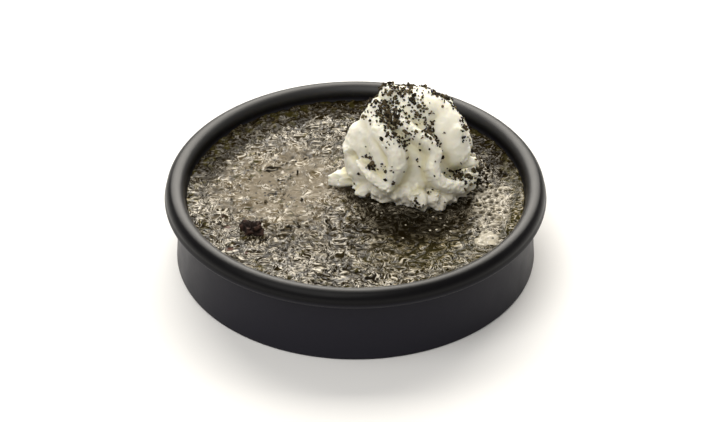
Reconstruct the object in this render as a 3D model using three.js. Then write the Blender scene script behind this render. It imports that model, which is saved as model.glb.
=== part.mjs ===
// A creme brulee in its round stoneware dish, with a dollop of whipped cream and a lump of cookie
// crumb on the custard. Millimetres, +Z up. The origin is the middle of the dish's underside.
import * as THREE from 'three';
import { mergeVertices } from 'three/addons/utils/BufferGeometryUtils.js';

const { clamp, degToRad, lerp } = THREE.MathUtils;

// Driving dimensions of the dish.
const RIM_RADIUS = 60;            // widest part, at the lower edge of the rim
const RIM_HEIGHT = 26.8;          // crest of the rim over the table
const BEAD_RADIUS = 3.0;          // round top of the rim
const BEAD_SETBACK = 0.4;         // the rim's face leans in by this much up to the bead
const LIP_HEIGHT = 22.0;          // underside of the rim, over the table
const LIP_ROUND = 0.35;
const NECK_RADIUS = 55.5;         // body just under the rim
const FOOT_RADIUS = 56.7;         // body at the table
const FOOT_ROUND = 0.6;
const BODY_TOP_RADIUS = 52.9;     // inside of the body, just under the bead
const BODY_TOP_HEIGHT = 21;
const BODY_FLOOR_RADIUS = 52.3;   // inside of the body, above the corner with the floor
const FLOOR_THICKNESS = 3;
const FLOOR_CORNER = 4;           // inside corner between floor and wall
const DISH_SEGMENTS = 64;
const EDGE_STEPS = 2;             // steps round a small edge
const BEAD_STEPS = 8;
const CORNER_STEPS = 3;

// Driving dimensions of the custard.
const GAP = 0.3;                  // clearance between pieces that touch
const CUSTARD_LEVEL = 21.9;       // its baked top over the table
const CUSTARD_EDGE_ROUND = 0.5;
const CUSTARD_RINGS = 8;
const SWELL = 0.09;               // height of each slow wave in the baked top
const SWELL_WAVES = [[0.11, 0.05, 0.4], [-0.07, 0.13, 1.9], [0.19, -0.16, 3.1]];

// Driving dimensions of the cream: one dome of folds, as a star nozzle leaves it, on a ring of small lumps.
const CREAM_CENTRE = [18, 9.5];
const CREAM_FLOOR = CUSTARD_LEVEL + 0.4;
const CREAM_AZIMUTH_STEPS = 76;
const CREAM_ELEVATION_STEPS = 26;
const CREAM_REACH = 38;           // no point of the cream is further from its centre
const FOLD_BEADS = 6;
const FOLD_BLEND = 1.3;           // width of the crease between two folds
const CORE_BLEND = 3.4;
const LUMP_BLEND = 1.3;

// The heart of the dollop: x, y, z and radius of each bead.
const CORE = [[0, 1, 5, 14.6], [-0.5, 1.2, 14, 13.2], [-0.5, 1.6, 22.5, 8.5]];

// Each fold runs from the top to the foot: azimuth in degrees, distance from the axis, height and
// thickness, each given at its top, its middle and its foot.
const FOLDS = [
  { azimuth: [177, 199, 222], reach: [10.0, 13.6, 14.6], height: [25, 16, 8], thickness: [4.4, 6.2, 5.4] },
  { azimuth: [184, 192, 200], reach: [14.4, 16.0, 14.8], height: [16, 9, 4], thickness: [5.4, 6.3, 5.8] },
  { azimuth: [187, 243, 244], reach: [12.6, 13.6, 15.0], height: [24.6, 19.5, 9.5], thickness: [2.6, 3.0, 2.8] },
  { azimuth: [204, 220, 236], reach: [16.8, 16.6, 16.4], height: [13, 10.2, 7.6], thickness: [1.8, 2.3, 2.6] },
  { azimuth: [186, 284, 294], reach: [5.6, 11.4, 15.2], height: [27.6, 22.8, 13.5], thickness: [2.0, 1.9, 1.9] },
  { azimuth: [294, 303, 330], reach: [15.4, 18.0, 20.0], height: [13.5, 7.6, 5.2], thickness: [1.9, 2.2, 2.6] },
  { azimuth: [378, 346, 338], reach: [4.7, 10.6, 15.6], height: [25.4, 21.4, 15], thickness: [4.0, 6.0, 5.4] },
  { azimuth: [40, 11, 3], reach: [9.4, 15.0, 16.0], height: [24.6, 17.5, 6], thickness: [3.6, 3.6, 4.4] },
  { azimuth: [157, 130, 62], reach: [7.8, 4.7, 6.4], height: [29.2, 27.6, 26], thickness: [3.6, 3.2, 3.2] },
  { azimuth: [158, 140, 128], reach: [9.4, 14.8, 17.4], height: [26, 18, 8], thickness: [2.6, 2.6, 3.0] },
  { azimuth: [126, 118, 110], reach: [8.4, 13.0, 15.4], height: [24.5, 16, 7], thickness: [4.2, 5.2, 5.2] },
  { azimuth: [106, 88, 76], reach: [8.0, 14.2, 17.2], height: [26, 18.5, 8.5], thickness: [2.4, 2.6, 2.9] },
  { azimuth: [72, 62, 54], reach: [8.8, 13.4, 15.8], height: [23.5, 15, 7], thickness: [4.4, 5.2, 5.2] },
  { azimuth: [54, 36, 28], reach: [9.6, 15.6, 18.2], height: [24.5, 16.5, 7.5], thickness: [2.4, 2.6, 3.0] },
];

// The uneven foot, as lumps at even steps of azimuth: how far each one reaches from the axis.
const FOOT_REACH = [
  20.2, 20.0, 20.4, 20.6, 20.2, 20.2, 20.6, 20.4, 20.4, 20.6, 21.0,
  21.0, 20.6, 18.4, 18.8, 18.8, 16.4, 17.4, 22.2, 21.2, 21.2, 19.8,
];
const FOOT_LUMP_RADIUS = 3.2;
const FOOT_LUMP_VARIATION = 0.5;
const FOOT_LUMP_HEIGHT = 2.2;

// The tail where the nozzle broke away, a drop beside it, and the hollow curl above the tail.
const TAIL = [[-19, -1, 1.6, 2.8], [-22.5, -3, 1.2, 2.9], [-24.6, -3.2, 0.9, 2.1]];
const DROP = [[-15.2, -9.6, 1.2, 2.0], [-15.8, -9.9, 1.0, 1.9]];
const CURL = [[-20.0, -9.0, 10.2, 2.2], [-16.2, -12.2, 5.8, 1.8]];

// The lump of baked cookie crumb.
const COOKIE_CENTRE = [-32, -20];
const COOKIE = [[-1.7, 0.9, 1.0, 2.0], [0.9, -0.3, 1.1, 2.4], [-0.6, -0.9, 0.6, 2.0], [2.2, -0.9, 0.5, 1.6]];
const COOKIE_AZIMUTH_STEPS = 24;
const COOKIE_ELEVATION_STEPS = 7;
const COOKIE_REACH = 7;
const COOKIE_BLEND = 0.5;

// One closed surface: shared corners are merged, and the slivers where rings shrink to a point are dropped.
function closed(geometry) {
  geometry.deleteAttribute('normal');
  geometry.deleteAttribute('uv');
  const merged = mergeVertices(geometry, 1e-4);
  const index = merged.getIndex().array;
  const kept = [];
  for (let i = 0; i < index.length; i += 3) {
    const [a, b, c] = index.slice(i, i + 3);
    if (a !== b && b !== c && c !== a) kept.push(a, b, c);
  }
  merged.setIndex(kept);
  merged.computeVertexNormals();
  return merged;
}

// A profile of radius and height, turned round +Z.
function turned(points, segments) {
  const geometry = new THREE.LatheGeometry(points, segments);
  return geometry.rotateX(Math.PI / 2);
}

function material(color, roughness) {
  return new THREE.MeshStandardMaterial({ color, roughness, metalness: 0 });
}

// The points of a round edge: its centre, its radius, and the two angles it runs between.
function arc(x, y, radius, from, to, steps) {
  const curve = new THREE.EllipseCurve(x, y, radius, radius, from, to, to < from);
  return curve.getPoints(steps);
}

// The line of the dish's inside, from under the bead down to the floor's middle, moved inwards by a gap.
function insideWall(gap) {
  const cornerX = BODY_FLOOR_RADIUS - FLOOR_CORNER;
  const cornerY = FLOOR_THICKNESS + FLOOR_CORNER;
  return [
    new THREE.Vector2(BODY_TOP_RADIUS - gap, BODY_TOP_HEIGHT),
    ...arc(cornerX, cornerY, FLOOR_CORNER - gap, 0, -Math.PI / 2, CORNER_STEPS),
    new THREE.Vector2(0, FLOOR_THICKNESS + gap),
  ];
}

function dishGeometry() {
  const beadX = RIM_RADIUS - BEAD_SETBACK - BEAD_RADIUS;
  const beadY = RIM_HEIGHT - BEAD_RADIUS;
  const profile = [
    new THREE.Vector2(0, 0),
    ...arc(FOOT_RADIUS - FOOT_ROUND, FOOT_ROUND, FOOT_ROUND, -Math.PI / 2, 0, EDGE_STEPS),
    new THREE.Vector2(NECK_RADIUS, LIP_HEIGHT),
    ...arc(RIM_RADIUS - LIP_ROUND, LIP_HEIGHT + LIP_ROUND, LIP_ROUND, -Math.PI / 2, 0, EDGE_STEPS),
    ...arc(beadX, beadY, BEAD_RADIUS, 0, Math.PI, BEAD_STEPS),
    ...insideWall(0),
  ];
  return closed(turned(profile, DISH_SEGMENTS));
}

// Height of the slow waves in the baked top, which die out at the wall.
function swell(x, y) {
  const edge = clamp((BODY_TOP_RADIUS - Math.hypot(x, y)) / 8, 0, 1);
  let height = 0;
  for (const [waveX, waveY, phase] of SWELL_WAVES) height += SWELL * Math.sin(waveX * x + waveY * y + phase);
  return height * edge;
}

function custardGeometry() {
  const edgeX = BODY_TOP_RADIUS - GAP - CUSTARD_EDGE_ROUND;
  const edgeY = CUSTARD_LEVEL - CUSTARD_EDGE_ROUND;
  const profile = [];
  for (let ring = 0; ring < CUSTARD_RINGS; ring += 1) {
    profile.push(new THREE.Vector2(edgeX * ring / CUSTARD_RINGS, CUSTARD_LEVEL));
  }
  profile.push(...arc(edgeX, edgeY, CUSTARD_EDGE_ROUND, Math.PI / 2, 0, EDGE_STEPS), ...insideWall(GAP));
  const geometry = turned(profile.reverse(), DISH_SEGMENTS);
  const place = geometry.getAttribute('position');
  for (let i = 0; i < place.count; i += 1) {
    if (place.getZ(i) > CUSTARD_LEVEL - 1e-3) {
      place.setZ(i, CUSTARD_LEVEL + swell(place.getX(i), place.getY(i)));
    }
  }
  return closed(geometry);
}

function bead([x, y, z, radius]) {
  return { at: new THREE.Vector3(x, y, z), radius };
}

// The parabola through a value's top, middle and foot.
function through([top, middle, foot], t) {
  return top * 2 * (t - 0.5) * (t - 1) + middle * 4 * t * (1 - t) + foot * 2 * t * (t - 0.5);
}

function foldBeads(fold) {
  const beads = [];
  for (let i = 0; i < FOLD_BEADS; i += 1) {
    const t = i / (FOLD_BEADS - 1);
    const azimuth = degToRad(through(fold.azimuth, t));
    const reach = through(fold.reach, t);
    const radius = through(fold.thickness, t);
    beads.push(bead([reach * Math.cos(azimuth), reach * Math.sin(azimuth), through(fold.height, t), radius]));
  }
  return beads;
}

function footLumps() {
  return FOOT_REACH.map((reach, i) => {
    const azimuth = i / FOOT_REACH.length * 2 * Math.PI;
    const radius = FOOT_LUMP_RADIUS + FOOT_LUMP_VARIATION * Math.sin(i * 2.4);
    const middle = reach - radius;
    return bead([middle * Math.cos(azimuth), middle * Math.sin(azimuth), FOOT_LUMP_HEIGHT, radius]);
  });
}

// Distance from a point to a round rod that tapers from one bead to the next.
function rodDistance(point, from, to) {
  const along = to.at.clone().sub(from.at);
  const offset = point.clone().sub(from.at);
  const t = clamp(offset.dot(along) / along.lengthSq(), 0, 1);
  return offset.addScaledVector(along, -t).length() - lerp(from.radius, to.radius, t);
}

function chainDistance(point, beads) {
  let nearest = Infinity;
  for (let i = 1; i < beads.length; i += 1) {
    nearest = Math.min(nearest, rodDistance(point, beads[i - 1], beads[i]));
  }
  return nearest;
}

// The nearer of two distances, rounded over where they are alike.
function softUnion(a, b, blend) {
  const share = clamp(0.5 + 0.5 * (b - a) / blend, 0, 1);
  return lerp(b, a, share) - blend * share * (1 - share);
}

function creamDistance(point, parts) {
  let folds = Infinity;
  for (const beads of parts.folds) {
    const distance = chainDistance(point, beads);
    folds = folds === Infinity ? distance : softUnion(folds, distance, FOLD_BLEND);
  }
  let distance = softUnion(folds, chainDistance(point, parts.core), CORE_BLEND);
  for (const lump of parts.lumps) {
    distance = softUnion(distance, point.distanceTo(lump.at) - lump.radius, LUMP_BLEND);
  }
  distance = softUnion(distance, chainDistance(point, parts.tail), LUMP_BLEND);
  distance = softUnion(distance, chainDistance(point, parts.drop), LUMP_BLEND);
  return -softUnion(-distance, chainDistance(point, parts.curl), LUMP_BLEND);
}

function cookieDistance(point, beads) {
  let distance = Infinity;
  for (const { at, radius } of beads) {
    const near = point.distanceTo(at) - radius;
    distance = distance === Infinity ? near : softUnion(distance, near, COOKIE_BLEND);
  }
  return distance;
}

// A lump that lies flat: a half sphere drawn in, along the rays from its centre, to a surface given by distance.
function domeGeometry(distanceAt, reach, azimuthSteps, elevationSteps) {
  const profile = [new THREE.Vector2(0, 0)];
  for (let i = 0; i <= elevationSteps; i += 1) {
    const elevation = i / elevationSteps * Math.PI / 2;
    profile.push(new THREE.Vector2(Math.cos(elevation), Math.sin(elevation)));
  }
  profile[elevationSteps + 1].x = 0;
  const geometry = turned(profile, azimuthSteps);
  const place = geometry.getAttribute('position');
  const ray = new THREE.Vector3();
  for (let i = 0; i < place.count; i += 1) {
    ray.fromBufferAttribute(place, i);
    if (ray.length() > 0.5) {
      let length = reach;
      for (let step = 0; step < 60; step += 1) {
        length -= 0.8 * distanceAt(ray.clone().multiplyScalar(length));
      }
      place.setXYZ(i, ray.x * length, ray.y * length, ray.z * length);
    }
  }
  return closed(geometry);
}

function creamGeometry() {
  const parts = {
    folds: FOLDS.map(foldBeads),
    core: CORE.map(bead),
    lumps: footLumps(),
    tail: TAIL.map(bead),
    drop: DROP.map(bead),
    curl: CURL.map(bead),
  };
  const distanceAt = (point) => creamDistance(point, parts);
  return domeGeometry(distanceAt, CREAM_REACH, CREAM_AZIMUTH_STEPS, CREAM_ELEVATION_STEPS);
}

function cookieGeometry() {
  const beads = COOKIE.map(bead);
  const distanceAt = (point) => cookieDistance(point, beads);
  return domeGeometry(distanceAt, COOKIE_REACH, COOKIE_AZIMUTH_STEPS, COOKIE_ELEVATION_STEPS);
}

function piece(name, geometry, finish, [x, y, z] = [0, 0, 0]) {
  const mesh = new THREE.Mesh(geometry, finish);
  mesh.name = name;
  mesh.position.set(x, y, z);
  return mesh;
}

const group = new THREE.Group();
group.add(piece('dish', dishGeometry(), material(0x26262a, 0.45)));
group.add(piece('custard', custardGeometry(), material(0x7a705f, 0.35)));
group.add(piece('whipped_cream', creamGeometry(), material(0xf0eedf, 0.6), [...CREAM_CENTRE, CREAM_FLOOR]));
group.add(piece('cookie_lump', cookieGeometry(), material(0x2b211d, 0.8), [...COOKIE_CENTRE, CREAM_FLOOR]));

export default group;
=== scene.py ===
# A creme brulee in its black dish, with whipped cream and cookie crumbs. Lengths are in metres unless a
# name or a comment says mm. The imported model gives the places; the pieces here are its finished surfaces.
import math
import bpy
import numpy as np
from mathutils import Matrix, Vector


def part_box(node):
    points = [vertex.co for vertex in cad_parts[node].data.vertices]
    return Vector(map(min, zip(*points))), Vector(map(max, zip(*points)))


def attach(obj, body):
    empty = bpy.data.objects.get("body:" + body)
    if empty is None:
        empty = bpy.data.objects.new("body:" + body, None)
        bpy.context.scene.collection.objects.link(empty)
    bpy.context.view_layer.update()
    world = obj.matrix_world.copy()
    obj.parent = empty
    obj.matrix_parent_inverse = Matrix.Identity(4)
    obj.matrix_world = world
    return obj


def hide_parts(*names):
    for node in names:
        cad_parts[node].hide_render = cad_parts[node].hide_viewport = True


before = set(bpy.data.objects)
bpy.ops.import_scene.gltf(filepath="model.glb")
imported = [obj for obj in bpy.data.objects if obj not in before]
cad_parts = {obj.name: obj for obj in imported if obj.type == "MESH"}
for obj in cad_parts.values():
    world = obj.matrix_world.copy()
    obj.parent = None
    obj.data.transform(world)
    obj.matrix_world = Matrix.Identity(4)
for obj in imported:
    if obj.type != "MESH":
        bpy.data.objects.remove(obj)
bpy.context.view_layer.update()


# The dish. Thick stoneware thrown round, with a rolled rim that overhangs the body, under a satin
# black glaze. One profile is turned round the dish's axis.
MM = 0.001
_, dish_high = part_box("dish")
RIM_RADIUS = dish_high.x
RIM_HEIGHT = dish_high.z
BEAD_RADIUS = 3.0 * MM
BEAD_SETBACK = 0.4 * MM
BEAD_MIDDLE = RIM_RADIUS - BEAD_SETBACK - BEAD_RADIUS
LIP_HEIGHT = 22.0 * MM
LIP_ROUND = 0.35 * MM
NECK_RADIUS = 55.5 * MM
NECK_COVE = 0.8 * MM
FOOT_RADIUS = 56.7 * MM
FOOT_ROUND = 0.6 * MM
BODY_TOP_RADIUS = 52.9 * MM
BODY_TOP_HEIGHT = 21.0 * MM
BODY_FLOOR_RADIUS = 52.3 * MM
FLOOR_THICKNESS = 3.0 * MM
FLOOR_CORNER = 4.0 * MM
DISH_TURN_STEPS = 288
# The body's and the rim's colours are a lit and a shaded copy of one glaze: the rim painted blacker as shade,
# the body lighter as reflected light.
GLAZE = (0.0132, 0.0126, 0.0185)
GLAZE_RIM_SHADED = (0.0030, 0.0028, 0.0035)
# The lip's edge: greyer where the glaze thins, and partly a painted highlight line.
GLAZE_THIN_EDGE_HIGHLIGHT = (0.022, 0.022, 0.025)
GLAZE_IOR = 1.22
# The rim's coat grows with the height less GLOSS_LEAN times the radius.
GLOSS_LEAN = 0.6
RIM_COAT = 0.8
RIM_COAT_ROUGHNESS = 0.5
COAT_IOR = 1.5


def arc(x, y, radius, start, end, steps):
    """Points of a round edge: the centre plus the radius times cosine and sine of evenly spaced angles."""
    angle = np.radians(np.linspace(start, end, steps + 1))
    return np.column_stack([x + radius * np.cos(angle), y + radius * np.sin(angle)])


def line(start, end, steps):
    """Evenly spaced points from start to end, with both ends left out."""
    t = np.linspace(0, 1, steps + 1)[1:-1, None]
    return np.asarray(start) * (1 - t) + np.asarray(end) * t


def skin(name, rings, first_pole, last_pole):
    """A closed surface: rings of points in a row, with a fan of triangles to a pole at each end."""
    count, around = rings.shape[:2]
    points = np.vstack([rings.reshape(-1, 3), first_pole, last_pole])
    corner = np.arange(count * around).reshape(count, around)
    after = np.roll(corner, -1, axis=1)
    quads = np.stack([corner[:-1], after[:-1], after[1:], corner[1:]], axis=-1).reshape(-1, 4)
    first = np.column_stack([np.full(around, count * around), after[0], corner[0]])
    last = np.column_stack([np.full(around, count * around + 1), corner[-1], after[-1]])
    return mesh_object(name, points, [quads, first, last])


def mesh_object(name, points, face_sets):
    """A mesh object from an array of points and arrays of faces, each with one number of corners."""
    sizes = np.concatenate([np.full(len(faces), faces.shape[1]) for faces in face_sets])
    corners = np.concatenate([faces.ravel() for faces in face_sets])
    mesh = bpy.data.meshes.new(name)
    mesh.vertices.add(len(points))
    mesh.vertices.foreach_set("co", np.asarray(points, np.float32).ravel())
    mesh.loops.add(len(corners))
    mesh.loops.foreach_set("vertex_index", corners.astype(np.int32))
    mesh.polygons.add(len(sizes))
    mesh.polygons.foreach_set("loop_start", (np.cumsum(sizes) - sizes).astype(np.int32))
    mesh.polygons.foreach_set("use_smooth", np.ones(len(sizes), bool))
    mesh.update(calc_edges=True)
    mesh.validate()
    piece = bpy.data.objects.new(name, mesh)
    bpy.context.scene.collection.objects.link(piece)
    return piece


def dish_profile():
    """The dish's outline from the middle of its underside, out, up over the rim and down to its floor:
    straight stretches that join arcs of circles."""
    bead_y = RIM_HEIGHT - BEAD_RADIUS
    foot = arc(FOOT_RADIUS - FOOT_ROUND, FOOT_ROUND, FOOT_ROUND, -90, 0, 8)
    neck = arc(NECK_RADIUS + NECK_COVE, LIP_HEIGHT - NECK_COVE, NECK_COVE, 180, 90, 6)
    lip = arc(RIM_RADIUS - LIP_ROUND, LIP_HEIGHT + LIP_ROUND, LIP_ROUND, -90, 5, 6)
    bead = arc(BEAD_MIDDLE, bead_y, BEAD_RADIUS, 0, 170, 34)
    corner_x = BODY_FLOOR_RADIUS - FLOOR_CORNER
    corner = arc(corner_x, FLOOR_THICKNESS + FLOOR_CORNER, FLOOR_CORNER, 0, -90, 8)
    inside_top = np.array([[BODY_TOP_RADIUS, BODY_TOP_HEIGHT]])
    stretches = [
        line((0, 0), foot[0], 6), foot, line(foot[-1], neck[0], 24), neck,
        line(neck[-1], lip[0], 3), lip, line(lip[-1], bead[0], 3), bead,
        line(bead[-1], inside_top[0], 4), inside_top, line(inside_top[0], corner[0], 4), corner,
        line(corner[-1], (0, FLOOR_THICKNESS), 6),
    ]
    return np.vstack(stretches)


def turned(profile, steps):
    """Rings of points: each profile point's radius times cosine and sine of even angles, at its height."""
    angle = np.arange(steps) / steps * 2 * np.pi
    radius, height = profile[:, 0, None], profile[:, 1, None]
    return np.stack([radius * np.cos(angle), radius * np.sin(angle), height + 0 * angle], axis=-1)


def material(name):
    """A new node material, its node tree and its Principled shader."""
    finish = bpy.data.materials.new(name)
    finish.use_nodes = True
    return finish, finish.node_tree, finish.node_tree.nodes["Principled BSDF"]


def add(tree, kind, **settings):
    """Adds a node; a setting named after a socket, with _ for spaces, sets or links that socket."""
    node = tree.nodes.new("ShaderNode" + kind)
    for key, value in settings.items():
        if hasattr(node, key):
            setattr(node, key, value)
    for key, value in settings.items():
        if not hasattr(node, key):
            feed(tree, node.inputs[key.replace("_", " ")], value)
    return node


def feed(tree, socket, value):
    """Links a socket to another node's output, or sets its value."""
    if isinstance(value, bpy.types.NodeSocket):
        tree.links.new(value, socket)
    elif isinstance(value, tuple) and len(value) == 3 and socket.type == "RGBA":
        socket.default_value = (*value, 1)
    else:
        socket.default_value = value

def arithmetic(tree, operation, *values):
    """One of the Math node's operations on values or other nodes' outputs."""
    node = add(tree, "Math", operation=operation)
    for socket, value in zip(node.inputs, values):
        feed(tree, socket, value)
    return node.outputs[0]


def place(tree):
    """The point's place on the piece, in metres."""
    return add(tree, "TexCoord").outputs["Object"]


def blend_colour(tree, share, first, second):
    """One colour fading into another by a mask."""
    node = add(tree, "Mix", data_type="RGBA")
    feed(tree, node.inputs["Factor"], share)
    feed(tree, node.inputs["A"], first)
    feed(tree, node.inputs["B"], second)
    return node.outputs["Result"]


def ramp(tree, value, low, high, to_low=0.0, to_high=1.0):
    """A value between low and high, stretched to another range and clamped there."""
    node = add(tree, "MapRange", Value=value)
    for name, number in zip(("From Min", "From Max", "To Min", "To Max"), (low, high, to_low, to_high)):
        node.inputs[name].default_value = number
    return node.outputs["Result"]


def grain_group():
    """Fine and coarse grain: two noises on the piece's own coordinates, out as a height and a soft mask."""
    group = bpy.data.node_groups.new("grain", "ShaderNodeTree")
    for name, kind, number in (("Place", "NodeSocketVector", None), ("Fine", "NodeSocketFloat", 2500.0),
                               ("Coarse", "NodeSocketFloat", 120.0)):
        socket = group.interface.new_socket(name, in_out="INPUT", socket_type=kind)
        if number is not None:
            socket.default_value = number
    group.interface.new_socket("Height", in_out="OUTPUT", socket_type="NodeSocketFloat")
    group.interface.new_socket("Mottle", in_out="OUTPUT", socket_type="NodeSocketFloat")
    given = group.nodes.new("NodeGroupInput")
    result = group.nodes.new("NodeGroupOutput")
    fine = add(group, "TexNoise", Vector=given.outputs["Place"], Scale=given.outputs["Fine"], Detail=2.0)
    coarse = add(group, "TexNoise", Vector=given.outputs["Place"], Scale=given.outputs["Coarse"], Detail=4.0)
    group.links.new(fine.outputs["Fac"], result.inputs["Height"])
    group.links.new(ramp(group, coarse.outputs["Fac"], 0.3, 0.7), result.inputs["Mottle"])
    return group


GRAIN = grain_group()


def grain(tree, fine, coarse):
    """The shared grain at one material's own scales, per metre."""
    node = tree.nodes.new("ShaderNodeGroup")
    node.node_tree = GRAIN
    feed(tree, node.inputs["Place"], place(tree))
    node.inputs["Fine"].default_value = fine
    node.inputs["Coarse"].default_value = coarse
    return node.outputs["Height"], node.outputs["Mottle"]


def bump(tree, height, depth, strength=1.0):
    """A normal from a height; depth is the relief in metres of a height of one."""
    return add(tree, "Bump", Height=height, Distance=depth, Strength=strength).outputs["Normal"]


def glaze_material():
    """Satin black glaze: faint orange peel and mottled gloss, greyer on the lip's edge from thin glaze and a
    painted highlight, painted blacker on the rim as shade and lighter on the body as reflected light, with a
    glossier coat over the rim's top and inside."""
    finish, tree, shader = material("black_glaze")
    height, mottle = grain(tree, fine=900.0, coarse=160.0)
    split = add(tree, "SeparateXYZ", Vector=place(tree))
    level = split.outputs["Z"]
    # A band along the lip's edge, greyer: thin glaze there and partly a painted highlight.
    over = ramp(tree, level, LIP_HEIGHT - 0.15 * MM, LIP_HEIGHT + 0.1 * MM)
    under = ramp(tree, level, LIP_HEIGHT + 0.75 * MM, LIP_HEIGHT + 0.35 * MM)
    edge = arithmetic(tree, "MULTIPLY", over, under)
    # The rim painted blacker than the body: painted shade.
    rim = ramp(tree, level, LIP_HEIGHT + 0.2 * MM, LIP_HEIGHT + 1.4 * MM)
    shade = blend_colour(tree, rim, GLAZE, GLAZE_RIM_SHADED)
    feed(tree, shader.inputs["Base Color"], blend_colour(tree, edge, shade, GLAZE_THIN_EDGE_HIGHLIGHT))
    feed(tree, shader.inputs["Roughness"], ramp(tree, mottle, 0, 1, 0.33, 0.42))
    feed(tree, shader.inputs["Normal"], bump(tree, height, depth=0.03 * MM, strength=0.6))
    around = add(tree, "VectorMath", operation="MULTIPLY")
    feed(tree, around.inputs[0], place(tree))
    around.inputs[1].default_value = (1, 1, 0)
    radius = add(tree, "VectorMath", operation="LENGTH")
    feed(tree, radius.inputs[0], around.outputs[0])
    inward = arithmetic(tree, "MULTIPLY_ADD", radius.outputs["Value"], -GLOSS_LEAN, level)
    crest = RIM_HEIGHT - GLOSS_LEAN * BEAD_MIDDLE
    coat = ramp(tree, inward, crest - 1.3 * MM, crest + 0.2 * MM, 0.0, RIM_COAT)
    feed(tree, shader.inputs["Coat Weight"], coat)
    shader.inputs["Coat Roughness"].default_value = RIM_COAT_ROUGHNESS
    shader.inputs["Coat IOR"].default_value = COAT_IOR
    shader.inputs["IOR"].default_value = GLAZE_IOR
    return finish


dish = skin("stoneware_dish", turned(dish_profile(), DISH_TURN_STEPS), (0, 0, 0), (0, 0, FLOOR_THICKNESS))
dish.data.materials.append(glaze_material())
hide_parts("dish")
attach(dish, "root")


# The custard. Baked in the dish up to its level, dark with cookie crumb, under a thin glossy sugar skin
# that crinkled as it cooled. The skin is a height over a disc, with the side and the base closed below.
custard_low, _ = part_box("custard")
CUSTARD_LEVEL = 21.9 * MM
CUSTARD_RADIUS = 53.05 * MM
CUSTARD_CORNER_HEIGHT = 7.0 * MM
CUSTARD_SIDE_TOP = BODY_TOP_HEIGHT - 0.5 * MM
CREAM_X, CREAM_Y = 18 * MM, 9.5 * MM
SKIN_STEPS = 301
FIELD_WIDTH = 112 * MM
FIELD_CELLS = 512
# Long waves: radians for each mm along x and along y, and the phase. They fade out towards the wall.
SWELL_HEIGHT = 0.09 * MM
SWELL_WAVES = ((0.11, 0.05, 0.4), (-0.07, 0.13, 1.9), (0.19, -0.16, 3.1))
SWELL_EDGE = 8 * MM
RIPPLE = 2.2 * MM
RIPPLE_HEIGHT = 0.06 * MM
SWALE = 4.6 * MM
SWALE_HEIGHT = 0.1 * MM
MENISCUS_REACH = 0.7 * MM
FOAM_HEIGHT = 0.35 * MM
PIT_COUNT = 46
# Middle and spread of the pits along x and along y, and their smallest and largest radius, all in mm.
PIT_PLACE_MM = ((42.5, 3.4), (-6, 7.5))
PIT_RADIUS_MM = (0.5, 1.1)
PIT_DEPTH_MM = 0.22
PIT_LIP_MM = 0.08
PIT_GAP = 0.2 * MM
# Soft ovals on the skin, in mm: x and y of the middle, half widths along x and y, and the edge's power.
SMOOTH_SPOT = (-24, 4, 23, 24, 4)
# The wet patch before the cream, painted dark as the cream's shadow.
WET_SHADOW_SPOT = (19, -17, 19, 12.5, 3.5)
PITTED_SPOT = (42.5, -6, 7.5, 14, 4)
SHORE_SPOT = (50, -8, 14, 18, 4)
FOAM_SPOT = (41, -24, 4.6, 4.6, 2)
FILM_SPOT = (42.5, -6, 7, 14, 4)
OLIVE_SPOT = (25, -31, 19, 12, 2)
# Where the crease lines are painted darker, as shade in them.
SHADED_CREASE_SPOT = (-20, -18, 9, 5, 2)
# Ovals where the crinkles are darker and shine less: how much, then where.
DULL_SPOTS = ((0.5, (-17, -22, 12, 8, 2)), (0.3, (-6, -33, 12, 6, 2)), (0.1, (-48, 5, 4, 16, 2)),
              (0.3, (20, -36, 12, 6, 2)))
# Small reddish stains, in mm: x and y of the middle, and the half width.
STAINS = ((-38.7, -29.3, 1.0), (-39.7, -17.6, 0.8), (-41.2, -11.8, 0.6), (-33.5, -31.5, 0.5))
# The wet band round the cream's front, painted dark as the cream's shadow, and the painted shade at the
# wall behind: where each one fades.
SHADOW_BAND_INSIDE, SHADOW_BAND_OUTSIDE = 22 * MM, 26.5 * MM
WALL_SHADE_INSIDE, WALL_SHADE_OUTSIDE = 41.5 * MM, 45.5 * MM
# The cone on which the crinkles are read, and how far its points are moved.
FLOW_SQUEEZE = 0.72
FLOW_START = 3 * MM
FLOW_SHIFT = 1.1 * MM
BATTER = (0.0120, 0.0078, 0.0018)
# Dark batter for specks, and also painted shade: the cream's shadow on the wet patch, and the creases.
DARK_BATTER_AND_SHADOW = (0.0065, 0.0042, 0.0012)
SKIN_BROWN = (0.126, 0.098, 0.057)
# The crinkles' pale colour: partly the sugar's own and partly painted glints of the light.
SKIN_PALE_AND_GLINT = (0.445, 0.395, 0.30)
# Gold on the crinkles near the walls: a painted reflection.
SKIN_GOLD_GLINT = (0.225, 0.175, 0.072)
STAIN = (0.075, 0.030, 0.020)
OLIVE = (0.032, 0.0265, 0.0065)
FOAM = (0.62, 0.565, 0.45)
# Crinkles and creases: noise cells for each metre, a crest's width in the noise's value, and the warp.
CRINKLES = ((540.0, 0.053, 1.2), (940.0, 0.064, 0.8))
CREASES = (120.0, 0.03, 2.2)
SPECK_SCALE = 430.0
SKIN_COAT_ROUGHNESS = 0.07
SKIN_IOR = 1.02


def field(wavelength, spread, seed):
    """Random waves of about one length: white noise kept, in its transform, in a soft ring of wave numbers.
    Out with a spread of one, on the square field over the dish."""
    noise = np.random.default_rng(seed).standard_normal((FIELD_CELLS, FIELD_CELLS))
    number = np.fft.fftfreq(FIELD_CELLS, FIELD_WIDTH / FIELD_CELLS)
    length = np.hypot(*np.meshgrid(number, number)) * wavelength
    ring = np.exp(-((length - 1) / spread) ** 2 / 2)
    waves = np.fft.ifft2(np.fft.fft2(noise) * ring).real
    return waves / waves.std()


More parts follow.
